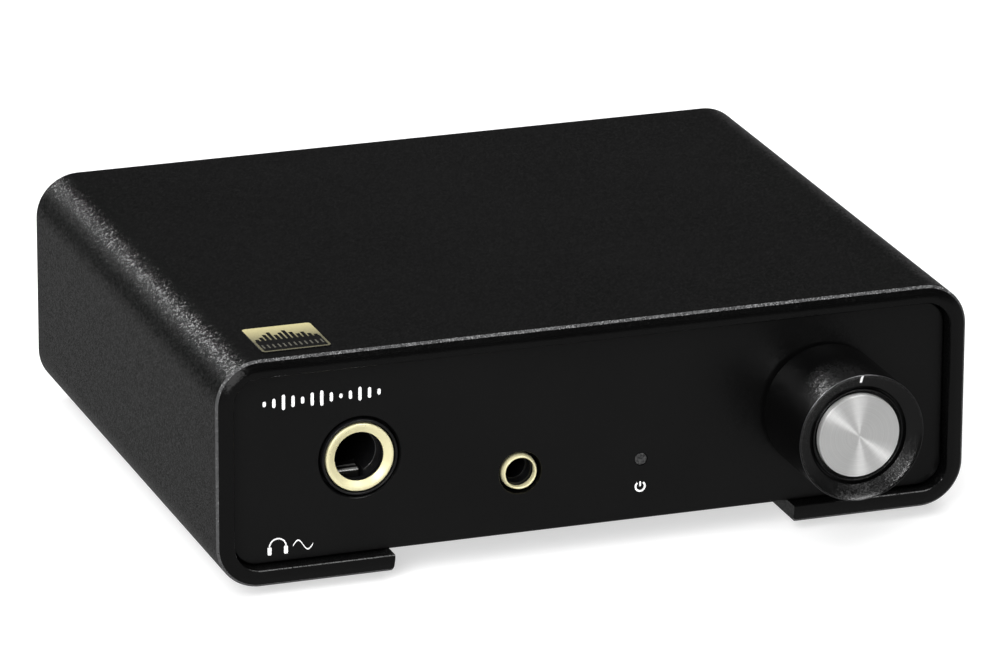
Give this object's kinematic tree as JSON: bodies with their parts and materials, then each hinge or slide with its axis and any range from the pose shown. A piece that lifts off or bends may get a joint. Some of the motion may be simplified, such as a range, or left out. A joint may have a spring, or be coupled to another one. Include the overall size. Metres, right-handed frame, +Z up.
{
  "type": "desktop dac",
  "caption": "Desktop DAC and headphone amplifier in an extruded aluminium sleeve, with headphone sockets, a volume knob, line outputs and a gain switch.",
  "frame": {"origin": "on the surface it stands on, under the middle of the whole object's box, knob and line sockets included", "axes": "+X to the right seen from the front, +Y towards the rear connectors, +Z up"},
  "size_m": [0.115, 0.112, 0.0364],
  "materials": {
    "anodised_black": "fine bead-blasted, black anodised",
    "black_plastic": "moulded, satin",
    "grey_plastic": "moulded, satin",
    "gold_plate": "gold plated, polished",
    "spun_aluminium": "face turned with fine concentric lines",
    "nickel": "nickel plated, bright",
    "steel": "zinc plated, satin",
    "black_screw": "black oxide",
    "rubber": "matt",
    "circuit_board": "solder mask over glass fibre",
    "chip_epoxy": "moulded epoxy, matt",
    "white_plastic": "moulded",
    "red_plastic": "moulded",
    "frosted_lens": "frosted, translucent",
    "label_foil": "printed metal foil"
  },
  "bodies": {
    "chassis": {"base_tray": "anodised_black", "board_screw_1": "steel", "board_screw_2": "steel", "board_screw_3": "steel", "board_screw_4": "steel", "capacitor_1": "black_plastic", "capacitor_2": "black_plastic", "capacitor_3": "black_plastic", "capacitor_4": "black_plastic", "clock_crystal": "nickel", "corner_screw_1": "black_screw", "corner_screw_2": "black_screw", "corner_screw_3": "black_screw", "corner_screw_4": "black_screw", "dac_chip": "chip_epoxy", "foot_front_left": "rubber", "foot_front_right": "rubber", "foot_rear_left": "rubber", "foot_rear_right": "rubber", "front_panel": "anodised_black", "gain_switch_body": "steel", "headphone_amp_chip": "chip_epoxy", "jack_35_housing": "black_plastic", "jack_35_ring": "gold_plate", "jack_35_ring_contact": "nickel", "jack_35_tip_contact": "nickel", "jack_635_housing": "black_plastic", "jack_635_ring": "gold_plate", "jack_635_ring_contact": "nickel", "jack_635_sleeve_contact": "nickel", "jack_635_tip_contact": "nickel", "led_light_pipe": "frosted_lens", "main_board": "circuit_board", "power_inductor": "chip_epoxy", "rca_contact_left": "nickel", "rca_contact_right": "nickel", "rca_housing": "black_plastic", "rca_insulator_left": "white_plastic", "rca_insulator_right": "red_plastic", "rca_shell_left": "nickel", "rca_shell_right": "nickel", "rear_panel": "anodised_black", "sleeve": "anodised_black", "status_led": "white_plastic", "top_label": "label_foil", "tray_screw_1": "black_screw", "tray_screw_2": "black_screw", "tray_screw_3": "black_screw", "tray_screw_4": "black_screw", "usb_c_shell": "steel", "usb_c_tongue": "black_plastic", "usb_controller_chip": "chip_epoxy", "volume_pot_body": "grey_plastic", "volume_pot_bush": "steel", "volume_pot_nut": "steel"},
    "volume_control": {"knob_cap": "spun_aluminium", "volume_knob": "anodised_black", "volume_shaft": "steel", "volume_wiper": "black_plastic"},
    "gain_slider": {"gain_switch_lever": "black_plastic"}
  },
  "joints": [
    {"name": "volume_turn", "type": "hinge", "parent": "chassis", "child": "volume_control", "pos_m": [0.03575, -0.04083, 0.019], "axis": [0, 1, 0], "range_deg": [-150, 150]},
    {"name": "gain_slide", "type": "slide", "parent": "chassis", "child": "gain_slider", "axis": [1, 0, 0], "range_m": [0, 0.003]}
  ]
}
